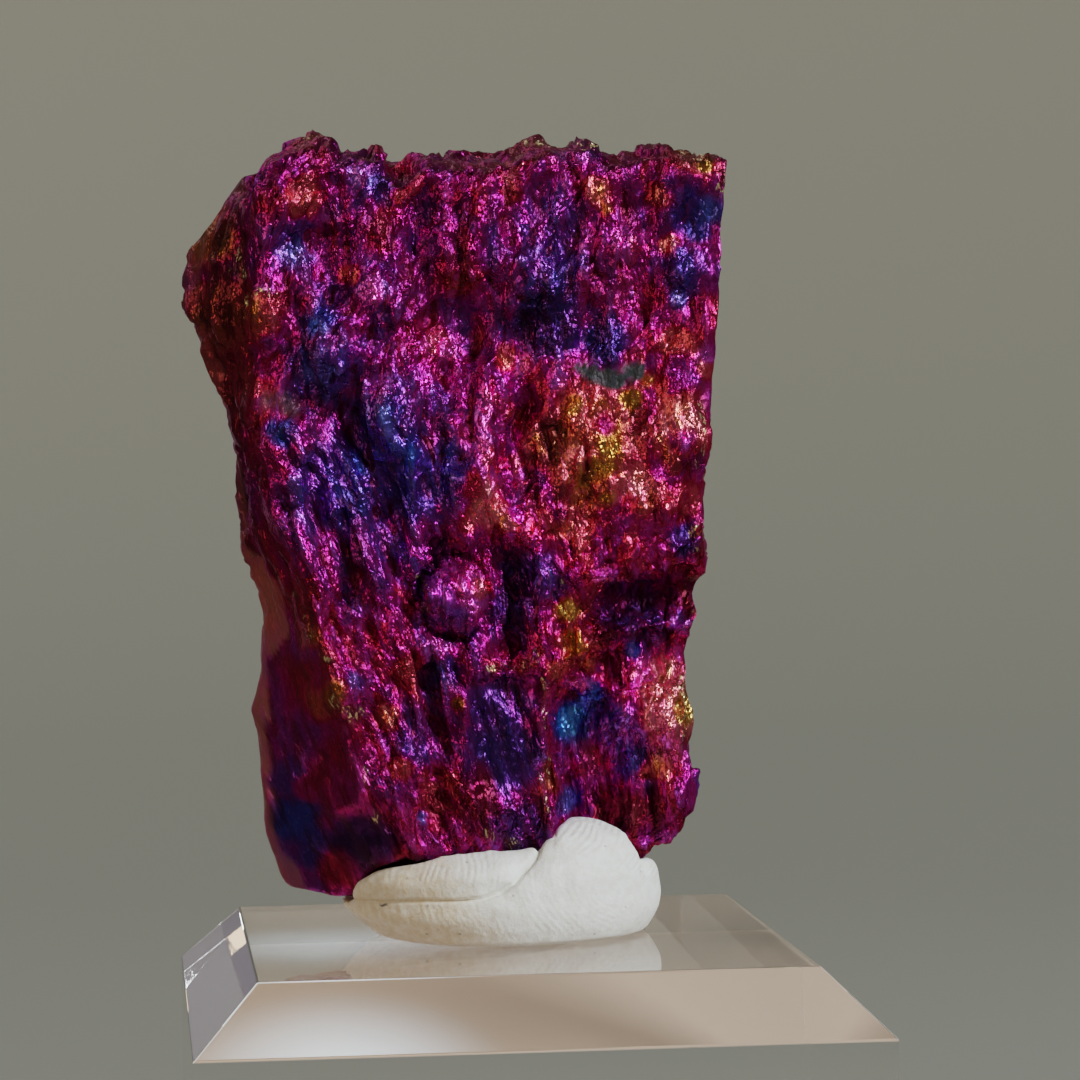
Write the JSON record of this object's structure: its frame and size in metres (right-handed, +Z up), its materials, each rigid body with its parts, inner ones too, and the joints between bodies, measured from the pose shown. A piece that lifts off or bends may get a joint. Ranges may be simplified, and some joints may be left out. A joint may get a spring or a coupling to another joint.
{
  "type": "peacock ore specimen",
  "caption": "Upright broken slab of iridescent peacock ore, held by a folded lump of off-white mineral tack on a clear square display block with a bevelled top.",
  "frame": {"origin": "middle of the display block's underside, on the surface that it stands on", "axes": "+Z up, -Y out of the ore's front face towards the viewer, +X to the viewer's right"},
  "size_m": [0.05, 0.05, 0.0915],
  "materials": {
    "ore": "satin",
    "tack": "matte",
    "acrylic": "polished"
  },
  "bodies": {
    "root": {"peacock_ore": "ore", "mineral_tack": "tack", "acrylic_block": "acrylic"}
  },
  "joints": []
}
